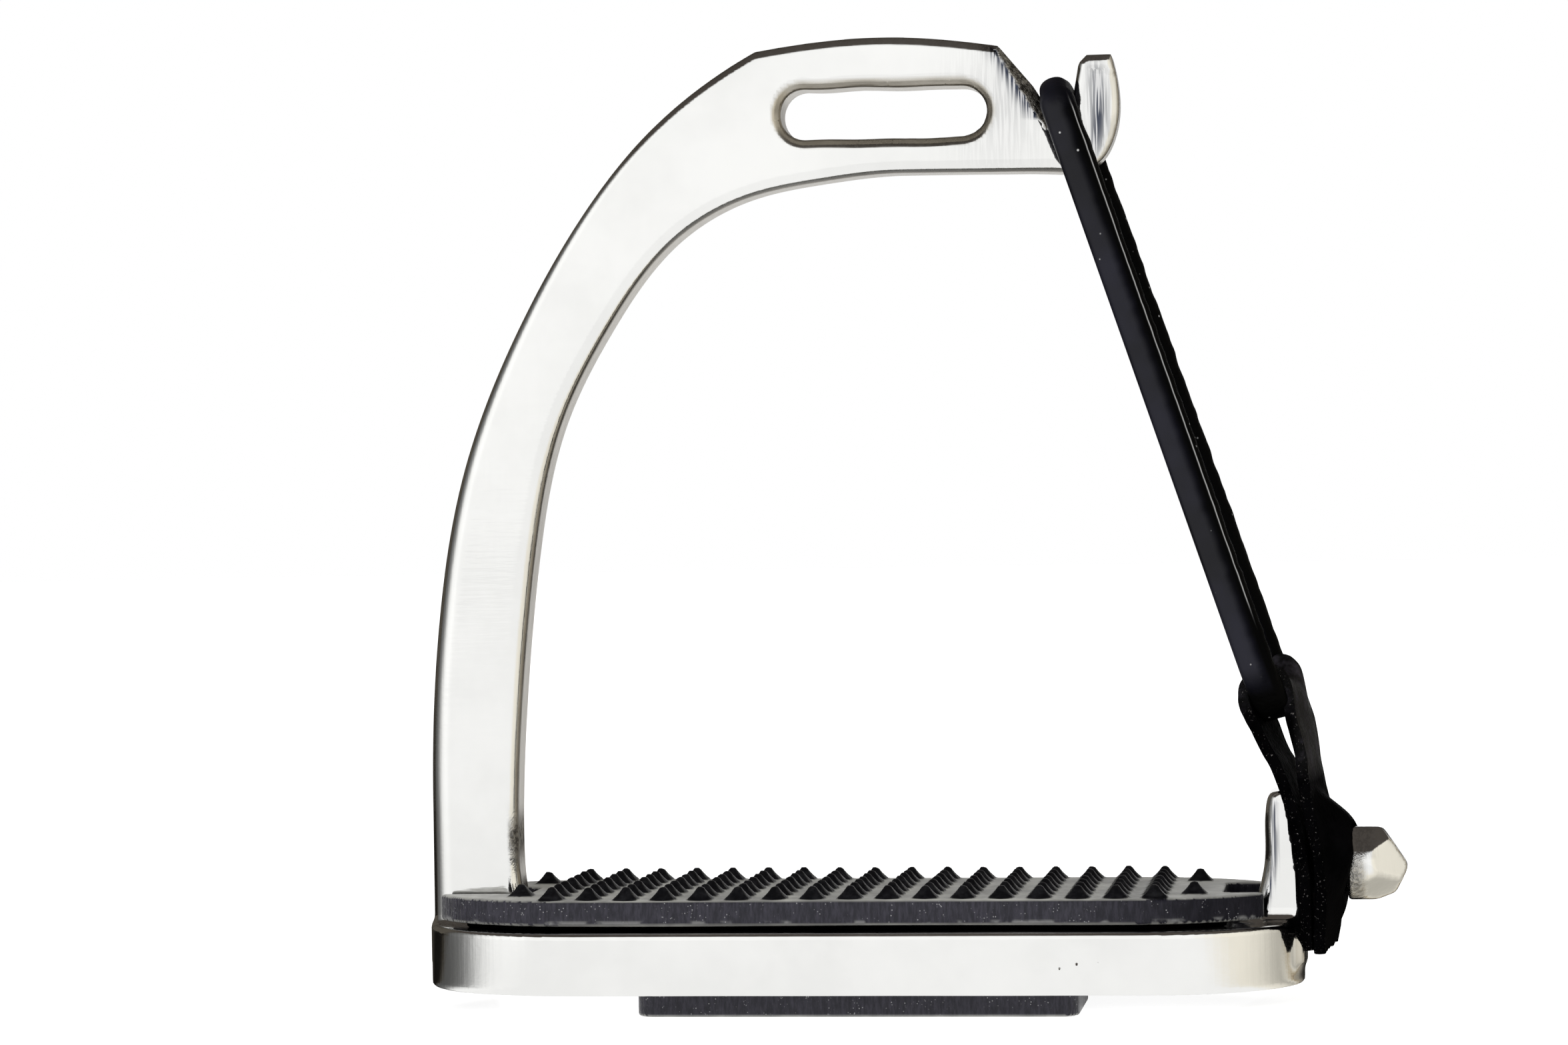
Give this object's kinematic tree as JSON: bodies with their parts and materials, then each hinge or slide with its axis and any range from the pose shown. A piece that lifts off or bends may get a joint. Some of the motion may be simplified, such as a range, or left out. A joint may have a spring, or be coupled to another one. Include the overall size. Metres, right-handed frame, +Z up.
{
  "type": "stirrup iron",
  "caption": "Peacock safety stirrup iron: open-sided foot loop closed by a rubber ring on a hook and a leather tab on a stud, with a studded rubber tread.",
  "frame": {"origin": "on the flat underside of the tread pad's retaining lip, below the middle of the tread, in the mid-plane of the iron", "axes": "+X along the tread from the solid branch to the open side with the ring and the stud, +Y through the foot opening, +Z up from the tread to the eye"},
  "size_m": [0.1585, 0.044, 0.157],
  "materials": {
    "polished_steel": "polished, with ground edges",
    "pad_rubber": "moulded, matt",
    "ring_rubber": "soft sheen",
    "leather": "dyed black, matt"
  },
  "bodies": {
    "iron": {"stirrup_iron": "polished_steel", "tread_pad": "pad_rubber"},
    "tab": {"tab_buttoned_end": "leather"},
    "tab_loop": {"tab_loop_end": "leather"},
    "ring": {"rubber_ring": "ring_rubber"}
  },
  "joints": [
    {"name": "tab_turn", "type": "hinge", "parent": "iron", "child": "tab", "pos_m": [0.0742, 0, 0.0232], "axis": [1, 0, 0], "range_deg": [-90, 90]},
    {"name": "tab_flex", "type": "hinge", "parent": "tab", "child": "tab_loop", "pos_m": [0.0761, 0, 0.0343], "axis": [0, 1, 0], "range_deg": [0, 45]},
    {"name": "ring_swing", "type": "hinge", "parent": "tab_loop", "child": "ring", "pos_m": [0.0663, 0, 0.0508], "axis": [0, 1, 0], "range_deg": [0, 130], "deforming": ["rubber_ring"]}
  ]
}
